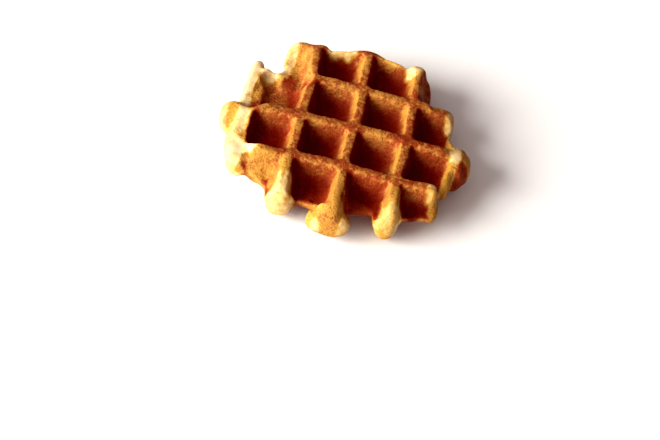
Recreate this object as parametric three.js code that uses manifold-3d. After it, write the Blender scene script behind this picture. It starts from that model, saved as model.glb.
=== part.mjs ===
// A round, lobed Belgian waffle, baked from a ball of dough: a square grid of ridges on both faces,
// deep pockets that lie back to back, and soft lobes where the dough ran out along the channels of the iron.
// Millimetres, +Z up. The ridges run along X and Y, and the origin is at the middle of the underside.

import * as THREE from "three";
import { mergeVertices } from "three/addons/utils/BufferGeometryUtils.js";
import Module from "manifold-3d";

const wasm = await Module();
wasm.setup();

// Driving dimensions
const PITCH = 22; // from one ridge to the next
const THICKNESS = 22; // over the ridges of both faces
const WEB = 3.6; // dough between a pocket and the one behind it
const CREST = 1.1; // half the width of a ridge's flat top
const SHOULDER = 2.0; // from a ridge's middle to where its wall begins
const SHOULDER_DROP = 0.8; // how far the rounded edge of a ridge falls
const WALL_FOOT = 4.7; // from a ridge's middle to the foot of its wall
const FOOT_RISE = 1.3; // height of a wall's foot over the pocket's floor
const POCKET_EDGE = 6.6; // from a ridge's middle to where the floor lies flat
const RIM = 8; // how far in from its edge the dough is rounded off
const SLACK = 0.5; // how far the free dough would stand above the iron's plates

const REACH = 66; // half the side of the iron's plates
const GRID_CENTRE = [2, -0.5]; // where the middle crossing stands, to centre the whole on the origin

const HALF = THICKNESS / 2;

// How far the dough ran from the middle crossing, round the compass from +X, without its lobes
const SPREAD = [43.5, 42.2, 41, 48, 47.5, 47.6, 46.5, 45, 46, 47.2, 46, 41.3, 38.6, 38, 45.5, 43.5];

// Where the dough ran on in the iron's channels, past the end of a ridge or along the outer ones.
// size is half the length along X, Y and Z.
const LOBES = [
  { at: [-22.5, -34.5, 1], size: [6.8, 8, 11] },
  { at: [-1.7, -38, 0.8], size: [5.5, 7.6, 10.8] },
  { at: [-1.7, -43, -1], size: [9.2, 4.6, 6] },
  { at: [20.6, -34, 1], size: [5.8, 7.8, 11] },
  { at: [33, -23, 2.5], size: [6, 5, 9.8] },
  { at: [34.5, -26, 0], size: [6.4, 6, 3.5] },
  { at: [41.6, -9.5, 0], size: [2.4, 7.5, 5.5] },
  { at: [44, -1, 0], size: [7, 8, 9] },
  { at: [34.2, 21, -1.5], size: [7.4, 7.5, 10.5] },
  { at: [21.2, 38.2, 0], size: [5.4, 8.2, 11.5] },
  { at: [25.4, 33.5, 0], size: [4.6, 8, 9] },
  { at: [-0.8, 40.6, 0], size: [9.5, 8, 11] },
  { at: [-20.5, 38.5, 0], size: [4.8, 8.8, 10] },
  { at: [-26.6, 38, 0], size: [8.6, 8.7, 9.5] },
  { at: [-40, 22, 0], size: [5, 5, 7] },
  { at: [-45.2, 16, -1.5], size: [3.8, 18, 6] },
  { at: [-45.4, -6, 0], size: [5, 18, 8.2] },
  { at: [-41, -23.3, 0], size: [6.6, 6.2, 6] },
  { at: [-48, -2, 0], size: [7, 8.5, 7] },
];
const SQUARENESS = 2.6; // of a lobe: 2 would be an ellipsoid

// Where the dough never filled the upper plate's channel, and how much of the ridge is missing there
const SHORT_FILLS = [
  { at: [-32, 22], size: [11.5, 10], depth: 7.3 },
  { at: [-45, 15], size: [12, 20], depth: 6.8 },
  { at: [-52, -22], size: [19, 10], depth: 5.5 },
];

// Goes smoothly from 0 to 1
const ease = (t) => t * t * (3 - 2 * t);

// How far out the dough lies in a direction: a closed Catmull-Rom curve through the SPREAD values
function spreadAt(angle) {
  const n = SPREAD.length;
  const turn = (angle / (2 * Math.PI)) * n;
  const k = Math.floor(turn);
  const t = turn - k;
  const [before, from, to, after] = [-1, 0, 1, 2].map((i) => SPREAD[(k + i + n) % n]);
  const slope = to - before;
  const bend = 2 * before - 5 * from + 4 * to - after;
  const twist = 3 * (from - to) + after - before;
  return from + 0.5 * t * (slope + t * (bend + t * twist));
}

// How high a ridge stands at a distance from its middle, from 0 on the pocket's floor to 1 on the crest
function rise(distance) {
  const depth = HALF - WEB / 2;
  const steps = [
    [CREST, 1],
    [SHOULDER, 1 - SHOULDER_DROP / depth],
    [WALL_FOOT, FOOT_RISE / depth],
    [POCKET_EDGE, 0],
  ];
  if (distance <= CREST) return 1;
  for (let i = 1; i < steps.length; i++) {
    const [a, high] = steps[i - 1];
    const [b, low] = steps[i];
    if (distance < b) return high + ((low - high) * (distance - a)) / (b - a);
  }
  return 0;
}

const fromRidge = (v) => Math.abs(v - PITCH * Math.round(v / PITCH));

// How far one plate of the closed iron is from the middle plane
function cavity(x, y) {
  const a = rise(fromRidge(x));
  const b = rise(fromRidge(y));
  const joined = Math.max(a, b) + 0.5 * Math.min(a, b) * (1 - Math.max(a, b));
  return WEB / 2 + (HALF - WEB / 2) * joined;
}

// The upper face: the cavity, less what the dough didn't fill
function upper(x, y) {
  const missing = SHORT_FILLS.reduce((sum, { at, size, depth }) => {
    const away = Math.hypot((x - at[0]) / size[0], (y - at[1]) / size[1]);
    return sum + depth * (1 - ease(THREE.MathUtils.clamp(2 * away - 1, 0, 1)));
  }, 0);
  const gap = cavity(x, y);
  return Math.max(Math.min(gap, HALF - missing), WEB / 2);
}

// Ridges baked by hand are never quite straight: a slow sideways sway, alike on both faces
const sway = (x, y) => [
  x + 0.5 * Math.sin(0.09 * y + 0.6) + 0.3 * Math.sin(0.17 * y + 0.1 * x),
  y + 0.5 * Math.sin(0.08 * x + 2.1) + 0.3 * Math.sin(0.15 * x - 0.12 * y),
];

// The lines across the plates at which a ridge's section turns
function gridLines() {
  const offsets = [CREST, SHOULDER, WALL_FOOT, POCKET_EDGE];
  const lines = new Set();
  for (let ridge = -REACH / PITCH; ridge <= REACH / PITCH; ridge++) {
    const middle = ridge * PITCH;
    for (const o of offsets) [middle - o, middle + o].forEach((v) => lines.add(v));
  }
  return [...lines].filter((v) => Math.abs(v) <= REACH).sort((a, b) => a - b);
}

// The space between the iron's plates, as one closed block with the pockets pressed into both faces
function plateSpace() {
  const lines = gridLines();
  const n = lines.length;
  const positions = [];
  for (const face of [1, -1])
    for (const y of lines)
      for (const x of lines) {
        const [sx, sy] = sway(x, y);
        positions.push(sx, sy, face > 0 ? upper(x, y) : -cavity(x, y));
      }
  const at = (face, i, j) => face * n * n + j * n + i;
  const index = [];
  const quad = (a, b, c, d) => index.push(a, b, c, a, c, d);
  for (let j = 0; j < n - 1; j++)
    for (let i = 0; i < n - 1; i++) {
      quad(at(0, i, j), at(0, i + 1, j), at(0, i + 1, j + 1), at(0, i, j + 1));
      quad(at(1, i, j), at(1, i, j + 1), at(1, i + 1, j + 1), at(1, i + 1, j));
    }
  for (let k = 0; k < n - 1; k++) {
    quad(at(1, k, 0), at(1, k + 1, 0), at(0, k + 1, 0), at(0, k, 0));
    quad(at(1, k + 1, n - 1), at(1, k, n - 1), at(0, k, n - 1), at(0, k + 1, n - 1));
    quad(at(1, 0, k + 1), at(1, 0, k), at(0, 0, k), at(0, 0, k + 1));
    quad(at(1, n - 1, k), at(1, n - 1, k + 1), at(0, n - 1, k + 1), at(0, n - 1, k));
  }
  const geometry = new THREE.BufferGeometry();
  geometry.setAttribute("position", new THREE.Float32BufferAttribute(positions, 3));
  geometry.setIndex(index);
  return geometry;
}

// The dough's body: a flat round whose edge is rounded like a bolster
function bodyOfDough() {
  const around = 84;
  const steps = 8;
  const positions = [];
  for (let k = 0; k < around; k++) {
    const angle = (2 * Math.PI * k) / around;
    const out = spreadAt(angle);
    for (let m = 0; m <= steps; m++) {
      const tilt = Math.PI * (m / steps - 0.5);
      const r = out - RIM * (1 - Math.cos(tilt));
      positions.push(r * Math.cos(angle), r * Math.sin(angle), (HALF + SLACK) * Math.sin(tilt));
    }
  }
  const ring = steps + 1;
  const bottom = positions.length / 3;
  positions.push(0, 0, -HALF - SLACK, 0, 0, HALF + SLACK);
  const index = [];
  for (let k = 0; k < around; k++) {
    const a = k * ring;
    const b = ((k + 1) % around) * ring;
    for (let m = 0; m < steps; m++) index.push(a + m, b + m, b + m + 1, a + m, b + m + 1, a + m + 1);
    index.push(bottom, b, a, bottom + 1, a + steps, b + steps);
  }
  const geometry = new THREE.BufferGeometry();
  geometry.setAttribute("position", new THREE.Float32BufferAttribute(positions, 3));
  geometry.setIndex(index);
  return geometry;
}

// One lobe at the end of a ridge: a ball drawn out towards the corners of its box
function lobe({ at, size }) {
  const geometry = new THREE.SphereGeometry(1, 18, 12);
  geometry.rotateX(Math.PI / 2);
  const positions = geometry.attributes.position;
  const point = new THREE.Vector3();
  for (let i = 0; i < positions.count; i++) {
    point.fromBufferAttribute(positions, i);
    const reach = point.toArray().reduce((sum, v) => sum + Math.abs(v) ** SQUARENESS, 0);
    point.multiplyScalar(reach ** (-1 / SQUARENESS));
    positions.setXYZ(i, ...point.toArray());
  }
  geometry.scale(...size);
  geometry.translate(...at);
  return geometry;
}

// Turns a closed geometry into a solid that can be joined and cut
function solid(geometry) {
  const bare = geometry.clone();
  bare.deleteAttribute("normal");
  bare.deleteAttribute("uv");
  const merged = mergeVertices(bare, 1e-4);
  return new wasm.Manifold(
    new wasm.Mesh({
      numProp: 3,
      vertProperties: new Float32Array(merged.attributes.position.array),
      triVerts: new Uint32Array(merged.index.array),
    }),
  );
}

// And back to a geometry
function geometryOf(made) {
  const { numProp, vertProperties, triVerts } = made.getMesh();
  const geometry = new THREE.BufferGeometry();
  const positions = new Float32Array((vertProperties.length / numProp) * 3);
  for (let i = 0; i < positions.length / 3; i++)
    positions.set(vertProperties.subarray(i * numProp, i * numProp + 3), i * 3);
  geometry.setAttribute("position", new THREE.BufferAttribute(positions, 3));
  geometry.setIndex(new THREE.BufferAttribute(new Uint32Array(triVerts), 1));
  return geometry;
}

// The crust that the iron browned, over pale free edges
function waffle() {
  const dough = LOBES.reduce((sum, l) => sum.add(solid(lobe(l))), solid(bodyOfDough()));
  const geometry = geometryOf(solid(plateSpace()).intersect(dough));
  geometry.computeVertexNormals();
  const crust = new THREE.MeshStandardMaterial({ color: 0xb56a2a, roughness: 0.6, metalness: 0 });
  const mesh = new THREE.Mesh(geometry, crust);
  mesh.name = "waffle";
  mesh.position.set(...GRID_CENTRE, HALF);
  return mesh;
}

const belgianWaffle = new THREE.Group();
belgianWaffle.add(waffle());

export default belgianWaffle;
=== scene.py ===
"""A round, lobed Belgian waffle lying on a pale floor, in soft light from the left.

Its surface is found the way it is baked: an iron's closed plates leave a space, a ball of dough runs
out into it, and the waffle is what both hold. The crust is brown where the dough met the iron and
pale where it never did, with painted shade on the pocket floors and on walls that face right, and
painted light on upper walls that face left. Shapes are worked out in millimetres from the middle
crossing of the grid, at half height, and placed in metres.
"""

import itertools
import math

import bpy
import numpy as np
from mathutils import Matrix, Vector


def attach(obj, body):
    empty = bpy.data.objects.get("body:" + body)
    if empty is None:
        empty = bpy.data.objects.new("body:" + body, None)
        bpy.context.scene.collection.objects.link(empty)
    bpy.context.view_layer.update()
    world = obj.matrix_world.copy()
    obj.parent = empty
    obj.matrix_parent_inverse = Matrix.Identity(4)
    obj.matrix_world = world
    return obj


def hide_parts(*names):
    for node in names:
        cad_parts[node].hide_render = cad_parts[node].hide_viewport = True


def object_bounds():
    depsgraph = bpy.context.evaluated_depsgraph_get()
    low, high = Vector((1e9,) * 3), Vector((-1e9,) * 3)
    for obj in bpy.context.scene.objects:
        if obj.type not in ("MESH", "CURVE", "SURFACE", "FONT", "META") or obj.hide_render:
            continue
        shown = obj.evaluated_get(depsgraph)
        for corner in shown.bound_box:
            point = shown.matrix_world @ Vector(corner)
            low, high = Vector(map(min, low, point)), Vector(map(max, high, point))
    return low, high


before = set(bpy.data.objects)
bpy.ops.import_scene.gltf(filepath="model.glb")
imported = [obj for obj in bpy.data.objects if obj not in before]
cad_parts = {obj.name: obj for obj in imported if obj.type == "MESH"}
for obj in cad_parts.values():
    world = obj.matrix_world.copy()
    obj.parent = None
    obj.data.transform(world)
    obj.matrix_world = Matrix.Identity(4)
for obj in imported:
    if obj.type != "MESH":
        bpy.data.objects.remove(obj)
cad_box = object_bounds()

MM = 0.001

# The iron, as in the CAD model
PITCH = 22.0  # from one ridge to the next
THICKNESS = 22.0  # over the ridges of both faces
HALF = THICKNESS / 2
WEB = 3.6  # dough between a pocket and the one behind it
SHOULDER = (2.0, HALF - 0.8)  # where a ridge's wall begins: from its middle, and over the middle plane
FOOT = (4.7, WEB / 2 + 1.3)  # and where it ends
GRID_CENTRE = (2.0, -0.5)  # where the middle crossing stands

# How the ridges sway sideways, as waves: how far, how fast along the ridge and across it, and their start
SWAY_ALONG_Y = [(0.5, 0.09, 0.0, 0.6), (0.3, 0.17, 0.1, 0.0)]
SWAY_ALONG_X = [(0.5, 0.08, 0.0, 2.1), (0.3, 0.15, -0.12, 0.0)]

# The dough, as in the CAD model
RIM = 8.0  # how far in from its edge the dough is rounded off
SLACK = 0.5  # how far the free dough would stand above the iron's plates

# How far the dough ran from the middle crossing, round the compass from +X, without its lobes
SPREAD = [43.5, 42.2, 41, 48, 47.5, 47.6, 46.5, 45, 46, 47.2, 46, 41.3, 38.6, 38, 45.5, 43.5]

# Where the dough ran on in the iron's channels, past the end of a ridge or along the outer ones.
# size is half the length along X, Y and Z.
LOBES = [
    {"at": (-22.5, -34.5, 1), "size": (6.8, 8, 11)},
    {"at": (-1.7, -38, 0.8), "size": (5.5, 7.6, 10.8)},
    {"at": (-1.7, -43, -1), "size": (9.2, 4.6, 6)},
    {"at": (20.6, -34, 1), "size": (5.8, 7.8, 11)},
    {"at": (33, -23, 2.5), "size": (6, 5, 9.8)},
    {"at": (34.5, -26, 0), "size": (6.4, 6, 3.5)},
    {"at": (41.6, -9.5, 0), "size": (2.4, 7.5, 5.5)},
    {"at": (44, -1, 0), "size": (7, 8, 9)},
    {"at": (34.2, 21, -1.5), "size": (7.4, 7.5, 10.5)},
    {"at": (21.2, 38.2, 0), "size": (5.4, 8.2, 11.5)},
    {"at": (25.4, 33.5, 0), "size": (4.6, 8, 9)},
    {"at": (-0.8, 40.6, 0), "size": (9.5, 8, 11)},
    {"at": (-20.5, 38.5, 0), "size": (4.8, 8.8, 10)},
    {"at": (-26.6, 38, 0), "size": (8.6, 8.7, 9.5)},
    {"at": (-40, 22, 0), "size": (5, 5, 7)},
    {"at": (-45.2, 16, -1.5), "size": (3.8, 18, 6)},
    {"at": (-45.4, -6, 0), "size": (5, 18, 8.2)},
    {"at": (-41, -23.3, 0), "size": (6.6, 6.2, 6)},
    {"at": (-48, -2, 0), "size": (7, 8.5, 7)},
]
SQUARENESS = 2.6  # of a lobe: 2 would be an ellipsoid

# Where the dough never filled the upper plate's channel, and how much of the ridge is missing there.
# size is half the length along X and Y.
SHORT_FILLS = [
    {"at": (-32, 22), "size": (11.5, 10), "depth": 7.3},
    {"at": (-45, 15), "size": (12, 20), "depth": 6.8},
    {"at": (-52, -22), "size": (19, 10), "depth": 5.5},
]
FILL_SPAN = (0.5, 1.0)  # the part of a short fill's size over which the ridge comes back

# How softly one form runs into the next
CREST_ROUNDING = 0.9  # where a ridge's wall meets its top
CROSSING_FILLET = 2.0  # where two ridges meet
FLOOR_FILLET = 3.0  # where a wall meets the pocket's floor
FILL_ROUNDING = 1.0  # where a ridge stops short
LOBE_FILLET = 2.0  # where a lobe leaves the dough
BRIM_ROUNDING = 1.3  # where the pressed crust meets the free edge

# Unevenness, as layers of noise: how strong each is, how wide its bumps are, and its random seed
DOUGH_LUMPS = [(0.32, 7.0, 11), (0.14, 2.6, 12)]  # of the free dough
CRUST_LUMPS = [(0.16, 5.0, 13), (0.1, 2.2, 14), (0.12, 1.25, 15)]  # of the pressed crust
RAGGED_TOAST = [(0.5, 5.0, 21), (0.4, 1.8, 22)]  # of the edge where the browning ends
UNEVEN_HEAT = [(0.12, 9.0, 23)]  # of the browning itself
DOUGH_INSET = 0.3  # how far the free dough is set in, to leave room for its lumps
CRUST_INSET = 0.14  # and how far the pressed crust is
LATTICE = 32  # random values along each side of a noise table, which then repeats

# How toasted the crust is, with painted light and shade in it: 0 is raw dough, 1 the darkest brown
FLOOR_TOAST_AND_SHADE = 0.86  # on the floors of the pockets: browned by the iron, and darker still as painted shade
WALL_FADE = 0.27  # how much paler it is above them
CREST_FADE = 0.07  # and how much more so on top of the ridges
CROSSING_TOAST = 0.08  # how much browner it is where ridges cross
RIGHT_WALL_SHADE = 0.26  # painted shade: how much darker the walls are that face right, away from the lamps
LEFT_WALL_LIGHT = 0.2  # painted light: how much paler the upper walls are that face left, towards the lamps
UNDER_TOAST = 0.5  # the least on the pocket floors of the underside
WISP_TOAST = 0.1  # how much browner the golden wisps are than the pale dough round them
GOLDEN = 0.33  # the palest that mottling makes a brown place

# How hard the iron pressed the dough
RISE = 1.25  # how many times its height the dough would swell to with no iron
FLOOR_PRESS = 1.5  # the extra pressing of a pocket's floor, as a share of what it had anyway
RAW_TO_TOASTED = (0.3, 2.6)  # the millimetres of rise past the iron over which the crust browns

# Where the toasting changes, as spans in millimetres
FLOOR_TO_WALL = (1.8, 5.5)  # from the middle plane
LOW_TO_HIGH_WALL = (4.0, 7.5)  # from the middle plane, where the painted light on walls that face left comes in
WALL_TO_CREST = (7.5, 9.8)  # from the middle plane
UNDERSIDE_TO_TOP = (-0.6, 1.0)  # above the middle plane
CROSSING_TO_RIDGE = (2.5, 5.0)  # from a ridge's middle
RIDGE_TO_FLOOR = (4.2, 5.6)  # from a ridge's middle

# And where it changes with something else
TO_RIGHT_WALL = (0.1, 0.6)  # of how far the surface faces right, for the painted shade on those walls
TO_LEFT_WALL = (0.2, 0.7)  # of how far it faces left, for the painted light on those walls
TO_WISP = (-0.1, 0.6)  # of the ragged noise
PALE_TO_GOLDEN = (0.12, 0.3)  # of the toasting
PATCH_EDGE = (0.7, 1.1)  # of a patch's size
PATCH_RAGGEDNESS = 0.22  # how far the ragged noise moves a patch's edge, as a share of its size

# Where the crust is paler or browner than the iron's touch alone makes it.
# size is half the length along X and Y, and the last value is what the crust comes to there.
PATCHES = [
    {"at": (-48, -8), "size": (6, 18), "toast_and_shade": 0.06},
    {"at": (-48, 14), "size": (5.4, 24), "toast_and_shade": 0.01},
    {"at": (-42.2, 13), "size": (2.4, 8), "toast_and_shade": 0.3},
    {"at": (-38.5, 22.5), "size": (6, 6), "toast_and_shade": 0.26},
    {"at": (-39.5, 25), "size": (4.8, 5), "toast_and_shade": 0.03},
    {"at": (-51, -2), "size": (5.5, 10), "toast_and_shade": 0.07},
    {"at": (-49.8, -2.5), "size": (2.4, 5.4), "toast_and_shade": 0.22},
    {"at": (-45.5, -25), "size": (5, 10), "toast_and_shade": 0.05},
    {"at": (-41.5, -21), "size": (6, 3.4), "toast_and_shade": 0.0},
    {"at": (-33, -27.5), "size": (7, 5.5), "toast_and_shade": 0.31},
    # Painted light: paler here to cancel the shadow that the lobe on its left casts into this pocket
    {"at": (-35, 12), "size": (7, 10), "toast_and_shade": 0.52},
    {"at": (-23.5, -27), "size": (2.5, 6), "toast_and_shade": 0.3},
    {"at": (-22.8, -38), "size": (5.2, 9.5), "toast_and_shade": 0.08},
    {"at": (-27, -32.5), "size": (1.8, 5.5), "toast_and_shade": 0.34},
    {"at": (-1.4, -34), "size": (2.6, 10), "toast_and_shade": 0.33},
    {"at": (0.2, -43.4), "size": (7.4, 5.4), "toast_and_shade": 0.3},
    {"at": (-9.5, -42.5), "size": (3.6, 5), "toast_and_shade": 0.2},
    {"at": (5, -46), "size": (3, 3), "toast_and_shade": 0.08},
    {"at": (9, -37), "size": (7.5, 6), "toast_and_shade": 0.66},
    {"at": (20.8, -38), "size": (4.6, 11), "toast_and_shade": 0.13},
    {"at": (19.4, -30), "size": (1.6, 6), "toast_and_shade": 0.36},
    {"at": (23, -31), "size": (1.2, 5), "toast_and_shade": 0.3},
    {"at": (36, -23), "size": (3, 4), "toast_and_shade": 0.08},
    {"at": (39, -27), "size": (3, 6), "toast_and_shade": 0.2},
    {"at": (43.3, 0), "size": (3.2, 6), "toast_and_shade": 0.03},
    {"at": (49, 0.5), "size": (3.6, 4.6), "toast_and_shade": 0.3},
    {"at": (47.5, -7), "size": (3.4, 4.4), "toast_and_shade": 0.66},
    {"at": (42, -12), "size": (2.4, 8), "toast_and_shade": 0.22},
    {"at": (41, 8), "size": (2.6, 9), "toast_and_shade": 0.12},
    {"at": (39.5, 19), "size": (3.5, 5), "toast_and_shade": 0.06},
    {"at": (20, 42), "size": (4.4, 6), "toast_and_shade": 0.05},
    {"at": (26.5, 35), "size": (3.8, 9), "toast_and_shade": 0.52},
    {"at": (12, 44.5), "size": (7, 3.5), "toast_and_shade": 0.14},
    {"at": (-9, 44), "size": (4.6, 3.6), "toast_and_shade": 0.06},
    {"at": (-15, 43), "size": (4, 3.5), "toast_and_shade": 0.08},
    {"at": (-25, 47), "size": (10, 4.5), "toast_and_shade": 0.04},
    {"at": (-28.6, 35), "size": (3, 12), "toast_and_shade": 0.33},
    {"at": (-34, 36), "size": (4.2, 14), "toast_and_shade": 0.06},
    {"at": (-26.4, 26), "size": (2.2, 9), "toast_and_shade": 0.46},
]

# The crust's colour at each degree of toasting, which also carries painted light and shade
CRUST_COLOURS = [
    (0.0, (0.68, 0.53, 0.32)),
    (0.1, (0.61, 0.42, 0.18)),
    (0.22, (0.52, 0.29, 0.06)),
    (0.38, (0.4, 0.2, 0.055)),
    (0.56, (0.3, 0.088, 0.027)),
    (0.78, (0.225, 0.038, 0.011)),
    (1.0, (0.15, 0.016, 0.003)),
]

# How mottled the crust is, as a line over the toasting: its slope, and its height at raw dough.
# The lower line counts, so that raw dough is nearly plain and golden crust the most mottled.
PALE_MOTTLING = (3.0, 0.09)
BROWN_MOTTLING = (-0.6, 0.9)
GRAIN_STRENGTH = 1.05  # of the fine mottling
BLOTCH_STRENGTH = 0.9  # and of the broad
FLECK_LEVEL = 0.48  # the noise past which a pale fleck shows on a ridge's top
FLECK_STRENGTH = 2.4  # how fast it pales past that
FLECK_SPAN = (5.5, 10.5)  # from the middle plane: the millimetres over which the flecks come in
NOISE_MIDDLE = 0.5  # of a noise texture, which runs from 0 to 1
RELIEF = 1.2  # how far the crust's grain stands out where the noise is at its full height

# The lamps: name, the direction each one hangs in, how many degrees wide it looks, and its strength
LAMPS = [
    ("window", (-0.8, -0.47, 0.34), 42, 6.9),
    ("room wall", (-0.5, -0.7, 0.5), 90, 0.8),
]
LAMP_COLOUR = (1.0, 0.975, 0.94)
ROOM_COLOUR = (1.0, 0.85, 0.81, 1.0)
ROOM_STRENGTH = 0.28

# The floor, in metres
FLOOR_REACH = 4.0  # from its middle to its sides
FLOOR_DROP = 0.0002  # keeps it clear of the waffle's underside

# The camera, fitted to the crossings of the ridges in the photograph
AZIMUTH = 0.0252  # how far it stands round from -Y towards -X, in radians
ELEVATION = 0.882  # how far it looks down, in radians
ROLL = 0.2584  # how far it is turned about its line of sight, in radians
DISTANCE = 611.63  # from the top of the middle crossing, along the line of sight
RIGHT_SHIFT = 10.03  # how far right of that line the crossing lies
UP_SHIFT = 38.45  # and how far above it
SENSOR_WIDTH = 36.0
FOCAL_POINTS = 1500.0  # the focal length, in points of a picture that is PICTURE_WIDTH wide
PICTURE_WIDTH = 660.0

# How finely the surface is worked out
CELL = 0.6
DOMAIN = ((-57.0, 53.0), (-50.0, 53.0), (-12.6, 12.6))  # along X, Y and Z
SETTLE_ROUNDS = 2
SETTLE_STEP = 0.05  # how far apart the field is read to find its slope
LEAST_SLOPE = 0.3  # a flatter slope counts as this steep
CORNERS = list(itertools.product((0, 1), repeat=3))  # of a cell
TINY = 1e-9  # keeps a division from meeting zero


def ease(low, high, value):
    """Goes smoothly from 0 at low to 1 at high."""
    t = np.clip((value - low) / (high - low), 0.0, 1.0)
    return t * t * (3.0 - 2.0 * t)


def join(a, b, blend):
    """The union of two distance fields, with a fillet where they meet."""
    near = np.maximum(blend - np.abs(a - b), 0.0) / blend
    return np.minimum(a, b) - near * near * blend / 4


def common(a, b, blend):
    """What two distance fields share, with a rounded edge where they meet."""
    return -join(-a, -b, blend)


def noise(point, size, seed):
    """A smooth random field between -1 and 1, whose bumps are about size millimetres across."""
    table = np.random.default_rng(seed).uniform(-1.0, 1.0, (LATTICE, LATTICE, LATTICE))
    scaled = [c / size for c in point]
    whole = [np.floor(c).astype(int) for c in scaled]
    part = [c - w for c, w in zip(scaled, whole)]
    part = [t * t * t * (t * (6 * t - 15) + 10) for t in part]
    total = 0.0
    for corner in CORNERS:
        share = 1.0
        for side, t in zip(corner, part):
            share = share * (t if side else 1 - t)
        total = total + table[tuple((w + side) % LATTICE for w, side in zip(whole, corner))] * share
    return total


def layered(point, layers):
    """Noise of several widths and strengths, added up."""
    return sum(strength * noise(point, size, seed) for strength, size, seed in layers)


def outward(spot, x, y):
    """How far out a place lies from a spot's middle, where 1 is the spot's edge."""
    (middle_x, middle_y), (half_x, half_y) = spot["at"], spot["size"]
    return np.hypot((x - middle_x) / half_x, (y - middle_y) / half_y)


def spread_at(angle):
    """How far out the dough lies in a direction: a closed Catmull-Rom curve through the SPREAD values."""
    n = len(SPREAD)
    turn = (angle / (2 * math.pi)) * n
    k = np.floor(turn).astype(int)
    t = turn - k
    values = np.array(SPREAD, dtype=float)
    before, start, end, after = (values[(k + i) % n] for i in (-1, 0, 1, 2))
    slope = end - before
    bend = 2 * before - 5 * start + 4 * end - after
    twist = 3 * (start - end) + after - before
    return start + 0.5 * t * (slope + t * (bend + t * twist))


def straightened(across, along, sway):
    """A place's coordinate across the ridges, as it would be if they ran straight."""
    straight = across
    for far, fast, slant, start in sway:
        straight = straight - far * np.sin(fast * along + slant * across + start)
    return straight


def from_ridge(across):
    """How far a place is from the middle of the nearest ridge."""
    return np.abs(across - PITCH * np.round(across / PITCH))


def ridge(across, height):
    """Distance to a ridge that stands up and down from the middle plane."""
    run = FOOT[0] - SHOULDER[0]
    fall = SHOULDER[1] - FOOT[1]
    length = math.hypot(run, fall)
    wall = ((across - SHOULDER[0]) * fall + (height - SHOULDER[1]) * run) / length
    return common(wall, height - HALF, CREST_ROUNDING)


def iron(x, y, z):
    """Distance to the space between the closed plates, less what the dough never filled."""
    x = straightened(x, y, SWAY_ALONG_Y)
    y = straightened(y, x, SWAY_ALONG_X)
    height = np.abs(z)
    along_y = ridge(from_ridge(x), height)
    along_x = ridge(from_ridge(y), height)
    space = join(join(along_x, along_y, CROSSING_FILLET), height - WEB / 2, FLOOR_FILLET)
    missing = 0.0
    for fill in SHORT_FILLS:
        missing = missing + fill["depth"] * (1 - ease(*FILL_SPAN, outward(fill, x, y)))
    return common(space, z - np.maximum(HALF - missing, WEB / 2), FILL_ROUNDING)


def ball(lobe, x, y, z):
    """Distance to a lobe: a ball drawn out towards the corners of its box."""
    out = [np.abs(c - middle) / half for c, middle, half in zip((x, y, z), lobe["at"], lobe["size"])]
    near = sum(c**SQUARENESS for c in out) ** (1 / SQUARENESS) + TINY
    slopes = [(c / near) ** (SQUARENESS - 1) / half for c, half in zip(out, lobe["size"])]
    steep = np.sqrt(sum(slope**2 for slope in slopes)) + TINY
    return (near - 1) / steep


def dough(x, y, z):
    """Distance to the dough as it would lie with no iron round it."""
    edge = np.hypot(x, y) - spread_at(np.arctan2(y, x)) + RIM
    flat = z * RIM / (HALF + SLACK)
    body = np.hypot(np.maximum(edge, 0.0), flat) - RIM
    for lobe in LOBES:
        body = join(body, ball(lobe, x, y, z), LOBE_FILLET)
    return body


def waffle_field(point):
    """Distance to the waffle's surface: what the iron's space and the dough share."""
    free = dough(*point) + DOUGH_INSET - layered(point, DOUGH_LUMPS)
    pressed = iron(*point) + CRUST_INSET - layered(point, CRUST_LUMPS)
    return common(pressed, free, BRIM_ROUNDING)


def contact(x, y, z):
    """How hard the iron pressed the dough: how far it would rise past a place with no iron there."""
    return -RISE * dough(x, y, z / RISE)


def at_corner(array, corner):
    """A grid's values at one corner of each of its cells."""
    return array[tuple(slice(c, c + n - 1) for c, n in zip(corner, array.shape))]


def net_points(field, crossed):
    """A point in each crossed cell, counted in cells: the middle of the crossings with its edges."""
    cells = np.argwhere(crossed)
    total = np.zeros((len(cells), 3))
    hits = np.zeros(len(cells))
    for axis in range(3):
        step = tuple(int(axis == a) for a in range(3))
        for corner in CORNERS:
            if corner[axis]:
                continue
            start = at_corner(field, corner)[crossed]
            end = at_corner(field, tuple(c + s for c, s in zip(corner, step)))[crossed]
            hit = (start < 0) != (end < 0)
            t = np.where(hit, start / np.where(hit, start - end, 1.0), 0.0)
            crossing = np.array(corner, dtype=float) + t[:, None] * np.array(step)
            total += np.where(hit[:, None], crossing, 0.0)
            hits += hit
    return cells + total / hits[:, None]


def net_quads(inside, number):
    """A quad round each edge of the grid that the surface crosses, facing out."""
    quads = []
    for axis in range(3):
        others = [a for a in range(3) if a != axis]
        ahead = [slice(None)] * 3
        behind = [slice(None)] * 3
        ahead[axis] = slice(1, None)
        behind[axis] = slice(None, -1)
        edges = np.argwhere(inside[tuple(behind)] != inside[tuple(ahead)])
        sideways = edges[:, others]
        edges = edges[((sideways > 0) & (sideways < np.array(number.shape)[others])).all(axis=1)]
        around = []
        for back in ((1, 1), (0, 1), (0, 0), (1, 0)):
            cells = edges.copy()
            cells[:, others] -= back
            around.append(number[tuple(cells.T)])
        faces = np.stack(around, axis=1)
        # Round Y, the other two axes wind the other way
        forward = inside[tuple(edges.T)] != (axis == 1)
        faces[~forward] = faces[~forward][:, ::-1]
        quads.append(faces)
    return np.concatenate(quads)


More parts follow.
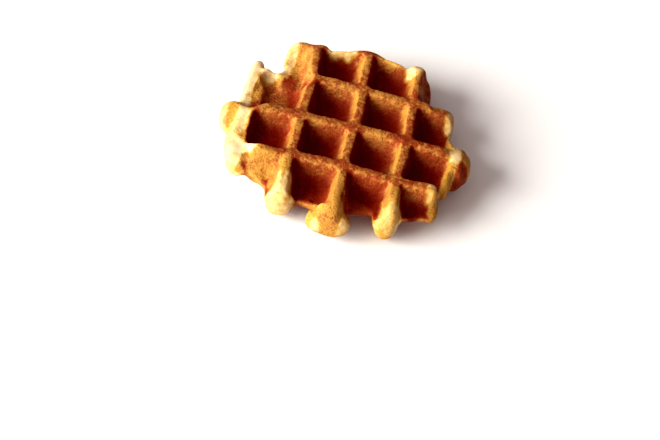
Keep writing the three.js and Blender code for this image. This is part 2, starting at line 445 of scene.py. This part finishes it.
def surface_net(field, origin):
    """A mesh of quads over the field's zero level: one vertex in each cell it crosses."""
    inside = field < 0
    count = sum(at_corner(inside, corner).astype(np.int8) for corner in CORNERS)
    crossed = (count > 0) & (count < len(CORNERS))
    number = np.full(crossed.shape, -1)
    number[crossed] = np.arange(np.count_nonzero(crossed))
    points = net_points(field, crossed) * CELL + np.array(origin)
    return points, net_quads(inside, number)


def settle(points, reach):
    """Moves each point onto the surface, no further than reach, and gives the surface's direction."""
    for _ in range(SETTLE_ROUNDS):
        value = waffle_field(points.T)
        slope = np.empty_like(points)
        for axis in range(3):
            moved = points.T.copy()
            moved[axis] += SETTLE_STEP
            slope[:, axis] = (waffle_field(moved) - value) / SETTLE_STEP
        steep = np.maximum(np.linalg.norm(slope, axis=1), LEAST_SLOPE)
        normal = slope / steep[:, None]
        shift = np.clip(value / steep, -reach, reach)
        points = points - normal * shift[:, None]
    return points, normal


def full_toast_and_shade(point, normal):
    """How toasted the crust is where the iron pressed it well, with painted shade deepening the pocket
    floors and darkening walls that face right, and painted light on upper walls that face left.
    """
    x, y, z = point
    height = np.abs(z)
    rightward = normal[:, 0]
    crossing = (1 - ease(*CROSSING_TO_RIDGE, from_ridge(x))) * (1 - ease(*CROSSING_TO_RIDGE, from_ridge(y)))
    # Browned by the iron, and darker towards the pocket floors as painted shade
    full = FLOOR_TOAST_AND_SHADE - WALL_FADE * ease(*FLOOR_TO_WALL, height)
    full = full - CREST_FADE * ease(*WALL_TO_CREST, height)
    full = full + CROSSING_TOAST * crossing + layered(point, UNEVEN_HEAT)
    # Painted shade on walls that face right, away from the lamps, and painted light on the upper walls that
    # face left, towards them
    full = full + RIGHT_WALL_SHADE * ease(*TO_RIGHT_WALL, rightward)
    return full - LEFT_WALL_LIGHT * ease(*TO_LEFT_WALL, -rightward) * ease(*LOW_TO_HIGH_WALL, height)


def toast_and_shade_at(points, normal):
    """How toasted each point of the surface is, with the light and shade painted into the crust."""
    point = points.T
    x, y, z = point
    ragged = layered(point, RAGGED_TOAST)
    floor = ease(*RIDGE_TO_FLOOR, from_ridge(x)) * ease(*RIDGE_TO_FLOOR, from_ridge(y))
    pressed = contact(x, y, z) * (1 + FLOOR_PRESS * floor) + ragged
    toast_and_shade = ease(*RAW_TO_TOASTED, pressed) * full_toast_and_shade(point, normal)
    toast_and_shade = np.maximum(toast_and_shade, UNDER_TOAST * floor * (1 - ease(*UNDERSIDE_TO_TOP, z)))
    for patch in PATCHES:
        away = outward(patch, x, y) + PATCH_RAGGEDNESS * ragged
        toast_and_shade = toast_and_shade + (patch["toast_and_shade"] - toast_and_shade) * (1 - ease(*PATCH_EDGE, away))
    wisps = ease(*TO_WISP, ragged) * (1 - ease(*PALE_TO_GOLDEN, toast_and_shade))
    return np.clip(toast_and_shade + WISP_TOAST * wisps, 0.0, 1.0)


def bake():
    """The waffle's mesh, with how toasted each place is and the light and shade painted there."""
    axes = [np.arange(low, high, CELL) for low, high in DOMAIN]
    field = waffle_field(np.meshgrid(*axes, indexing="ij"))
    points, quads = surface_net(field, [axis[0] for axis in axes])
    points, normal = settle(points, reach=CELL / 3)

    # No lump stands out of the CAD model's box
    place = points + np.array((*GRID_CENTRE, HALF))
    low, high = (np.array(corner) / MM for corner in cad_box)
    place = np.clip(place, low, high)

    mesh = bpy.data.meshes.new("waffle_crust")
    mesh.from_pydata((place * MM).tolist(), [], quads.tolist())
    mesh.validate()
    mesh.polygons.foreach_set("use_smooth", [True] * len(mesh.polygons))
    toast_and_shade = toast_and_shade_at(points, normal)
    # The attribute carries the toasting together with its painted light and shade
    mesh.attributes.new("toast_and_shade", "FLOAT", "POINT").data.foreach_set("value", toast_and_shade)
    piece = bpy.data.objects.new("waffle_crust", mesh)
    bpy.context.collection.objects.link(piece)
    return piece


def math_node(tree, operation, *values):
    """A node that does one sum, on numbers or on what other nodes give."""
    node = tree.nodes.new("ShaderNodeMath")
    node.operation = operation
    for socket, value in zip(node.inputs, values):
        if isinstance(value, (int, float)):
            socket.default_value = value
        else:
            tree.links.new(value, socket)
    return node.outputs["Value"]


def speckle(tree, place, size, detail, roughness):
    """A noise texture whose specks are about size millimetres across."""
    texture = tree.nodes.new("ShaderNodeTexNoise")
    texture.inputs["Scale"].default_value = 1 / (size * MM)
    texture.inputs["Detail"].default_value = detail
    texture.inputs["Roughness"].default_value = roughness
    tree.links.new(place, texture.inputs["Vector"])
    return texture.outputs["Fac"]


def swing(tree, texture, strength):
    """A noise texture as a swing to both sides of its middle."""
    return math_node(tree, "MULTIPLY", math_node(tree, "SUBTRACT", texture, NOISE_MIDDLE), strength)


def crest_flecks(tree, place, texture):
    """Pale flecks that come in towards the tops of the ridges."""
    height = tree.nodes.new("ShaderNodeSeparateXYZ")
    tree.links.new(place, height.inputs["Vector"])
    above = math_node(tree, "ABSOLUTE", math_node(tree, "SUBTRACT", height.outputs["Z"], HALF * MM))
    crest = tree.nodes.new("ShaderNodeMapRange")
    crest.interpolation_type = "SMOOTHSTEP"
    tree.links.new(above, crest.inputs["Value"])
    crest.inputs["From Min"].default_value = FLECK_SPAN[0] * MM
    crest.inputs["From Max"].default_value = FLECK_SPAN[1] * MM
    past = math_node(tree, "MAXIMUM", math_node(tree, "SUBTRACT", texture, FLECK_LEVEL), 0.0)
    paler = math_node(tree, "MULTIPLY", past, -FLECK_STRENGTH)
    return math_node(tree, "MULTIPLY", paler, crest.outputs["Result"])


def crust_colour(tree, shade):
    """The crust's colour for how toasted it is, with its painted light and shade, mottling and all."""
    ramp = tree.nodes.new("ShaderNodeValToRGB")
    tree.links.new(shade, ramp.inputs["Fac"])
    elements = ramp.color_ramp.elements
    while len(elements) < len(CRUST_COLOURS):
        elements.new(0.5)
    for element, (position, colour) in zip(elements, CRUST_COLOURS):
        element.position = position
        element.color = (*colour, 1.0)
    return ramp.outputs["Color"]


def crust_material():
    """Baked dough, coloured by how toasted it is and by the light and shade painted into it."""
    material = bpy.data.materials.new("crust")
    material.use_nodes = True
    tree = material.node_tree
    shader = tree.nodes["Principled BSDF"]
    shader.inputs["Roughness"].default_value = 0.6
    shader.inputs["Specular IOR Level"].default_value = 0.15
    shader.inputs["Subsurface Weight"].default_value = 0.1
    shader.inputs["Subsurface Radius"].default_value = (1.0, 0.6, 0.3)
    shader.inputs["Subsurface Scale"].default_value = 0.0015

    attribute = tree.nodes.new("ShaderNodeAttribute")
    attribute.attribute_name = "toast_and_shade"
    toast_and_shade = attribute.outputs["Fac"]
    place = tree.nodes.new("ShaderNodeTexCoord").outputs["Object"]
    grain = speckle(tree, place, size=0.9, detail=3.0, roughness=0.65)
    blotches = speckle(tree, place, size=4.0, detail=3.0, roughness=0.6)
    flecks = speckle(tree, place, size=1.9, detail=2.0, roughness=0.5)

    both = math_node(tree, "ADD", swing(tree, grain, GRAIN_STRENGTH), swing(tree, blotches, BLOTCH_STRENGTH))
    spread = math_node(tree, "ADD", both, crest_flecks(tree, place, flecks))
    pale = math_node(tree, "MULTIPLY_ADD", toast_and_shade, *PALE_MOTTLING)
    brown = math_node(tree, "MULTIPLY_ADD", toast_and_shade, *BROWN_MOTTLING)
    share = math_node(tree, "MINIMUM", pale, brown)
    mottled = math_node(tree, "ADD", toast_and_shade, math_node(tree, "MULTIPLY", spread, share))
    shade = math_node(tree, "MAXIMUM", mottled, math_node(tree, "MINIMUM", toast_and_shade, GOLDEN))
    tree.links.new(crust_colour(tree, shade), shader.inputs["Base Color"])

    bump = tree.nodes.new("ShaderNodeBump")
    bump.inputs["Strength"].default_value = 0.8
    bump.inputs["Distance"].default_value = RELIEF * MM
    relief = math_node(tree, "SUBTRACT", math_node(tree, "ADD", grain, blotches), 2 * NOISE_MIDDLE)
    tree.links.new(math_node(tree, "MULTIPLY", relief, share), bump.inputs["Height"])
    tree.links.new(bump.outputs["Normal"], shader.inputs["Normal"])
    return material


def floor_material():
    """A matt white that takes the shadow."""
    material = bpy.data.materials.new("floor")
    material.use_nodes = True
    shader = material.node_tree.nodes["Principled BSDF"]
    shader.inputs["Base Color"].default_value = (0.88, 0.88, 0.88, 1.0)
    shader.inputs["Roughness"].default_value = 0.9
    return material


def make_floor():
    """A floor wide enough to fill the picture."""
    sides = ((-1, -1), (1, -1), (1, 1), (-1, 1))
    mesh = bpy.data.meshes.new("floor")
    mesh.from_pydata([(x * FLOOR_REACH, y * FLOOR_REACH, 0) for x, y in sides], [], [(0, 1, 2, 3)])
    floor = bpy.data.objects.new("floor", mesh)
    floor.location.z = -FLOOR_DROP
    mesh.materials.append(floor_material())
    bpy.context.collection.objects.link(floor)


def make_light():
    """A large lamp low on the left, a wide weak one, and a white room all round."""
    for name, towards, width, strength in LAMPS:
        lamp = bpy.data.lights.new(name, "SUN")
        lamp.angle = math.radians(width)
        lamp.energy = strength
        lamp.color = LAMP_COLOUR
        holder = bpy.data.objects.new(name, lamp)
        holder.rotation_euler = Vector(towards).to_track_quat("Z", "Y").to_euler()
        bpy.context.collection.objects.link(holder)

    world = bpy.data.worlds.new("room")
    world.use_nodes = True
    background = world.node_tree.nodes["Background"]
    background.inputs["Color"].default_value = ROOM_COLOUR
    background.inputs["Strength"].default_value = ROOM_STRENGTH
    bpy.context.scene.world = world


def make_camera():
    """The photograph's view: its direction, roll and lens."""
    level = math.cos(ELEVATION)
    away = np.array((-math.sin(AZIMUTH) * level, -math.cos(AZIMUTH) * level, math.sin(ELEVATION)))
    right = np.array((math.cos(AZIMUTH), -math.sin(AZIMUTH), 0.0))
    up = np.cross(right, -away)
    right, up = (
        math.cos(ROLL) * right + math.sin(ROLL) * up,
        -math.sin(ROLL) * right + math.cos(ROLL) * up,
    )
    middle = np.array((*GRID_CENTRE, THICKNESS))
    place = (middle + away * DISTANCE - right * RIGHT_SHIFT - up * UP_SHIFT) * MM
    data = bpy.data.cameras.new("camera")
    data.sensor_width = SENSOR_WIDTH
    data.lens = SENSOR_WIDTH * FOCAL_POINTS / PICTURE_WIDTH
    camera = bpy.data.objects.new("camera", data)
    matrix = np.eye(4)
    matrix[:3] = np.stack((right, up, away, place), axis=1)
    camera.matrix_world = Matrix(matrix.tolist())
    bpy.context.collection.objects.link(camera)
    bpy.context.scene.camera = camera


def set_view():
    """Contrast and black level like the photograph's."""
    view = bpy.context.scene.view_settings
    view.view_transform = "Standard"
    view.look = "High Contrast"
    view.exposure = -0.22
    view.use_curve_mapping = True
    view.curve_mapping.black_level = (-0.002, 0.014, 0.008)


make_camera()
make_floor()
make_light()
waffle = bake()
waffle.data.materials.append(crust_material())
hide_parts("waffle")
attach(waffle, "root")
set_view()
